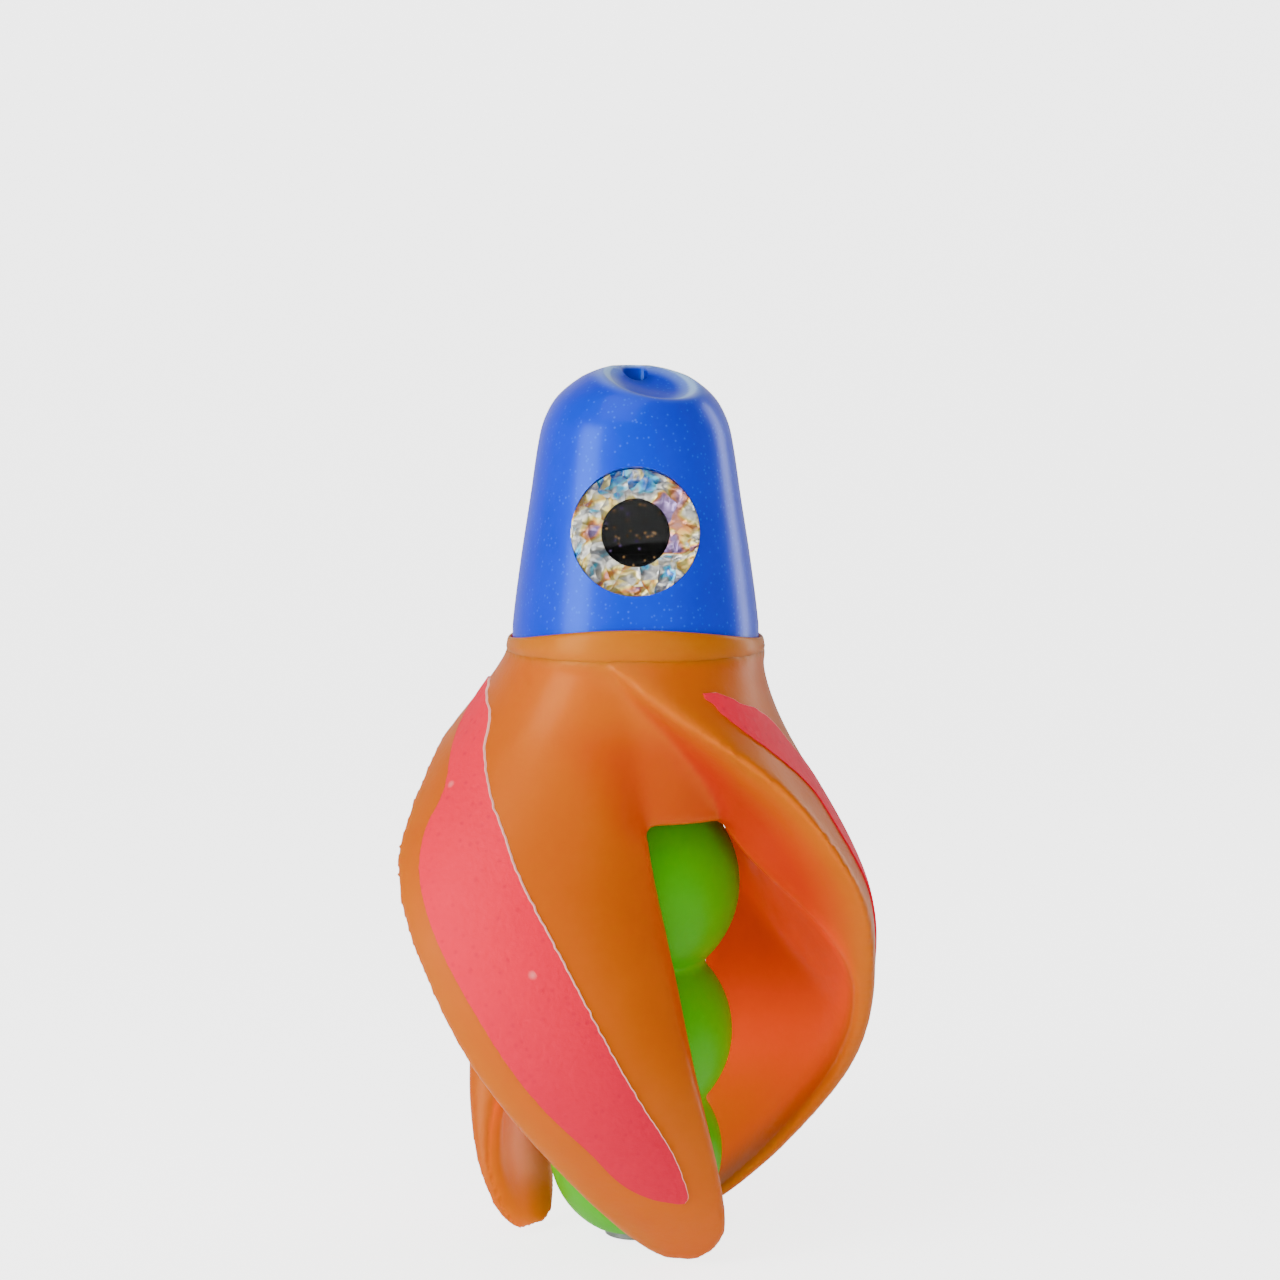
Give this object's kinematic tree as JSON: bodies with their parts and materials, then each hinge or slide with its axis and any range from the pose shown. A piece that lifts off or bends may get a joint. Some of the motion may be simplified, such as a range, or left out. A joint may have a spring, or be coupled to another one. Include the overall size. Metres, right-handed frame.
{
  "type": "spinning fishing lure",
  "caption": "Weighted dished head with foil eyes on a line tube, with a free-spinning soft skirt of spiral petals around a beaded core.",
  "frame": {"origin": "tail end of the line tube, on the spin axis, level with the petal tips", "axes": "+Z along the spin axis from the tail to the nose; -Y is the side of the front eye"},
  "size_m": [0.0381, 0.0375, 0.0701],
  "materials": {
    "blue_gloss": "gloss",
    "brass_ballast": "satin",
    "steel": "satin",
    "acetal": "matte",
    "green_soft": "satin",
    "orange_soft": "satin",
    "pink_tape": "matte",
    "foil": "crinkled",
    "pupil": "gloss",
    "clear_dome": "clear"
  },
  "bodies": {
    "head": {"head_shell": "blue_gloss", "head_base": "blue_gloss", "ballast_ring": "brass_ballast", "line_tube": "steel", "upper_washer": "steel", "lower_washer": "steel", "tail_washer": "steel", "tail_ferrule": "steel", "eye_foil_front": "foil", "eye_pupil_front": "pupil", "eye_dome_front": "clear_dome", "eye_foil_back": "foil", "eye_pupil_back": "pupil", "eye_dome_back": "clear_dome"},
    "rotor": {"spiral_skirt": "orange_soft", "rotor_bush": "acetal", "tape_strip_1": "pink_tape", "tape_strip_2": "pink_tape", "tape_strip_3": "pink_tape"},
    "core": {"bead_core": "green_soft", "core_sleeve": "acetal"}
  },
  "joints": [
    {"name": "skirt_spin", "type": "hinge", "parent": "head", "child": "rotor", "pos_m": [0, 0, 0.044], "axis": [0, 0, 1], "continuous": true},
    {"name": "core_spin", "type": "hinge", "parent": "head", "child": "core", "pos_m": [0, 0, 0.02], "axis": [0, 0, 1], "continuous": true}
  ]
}
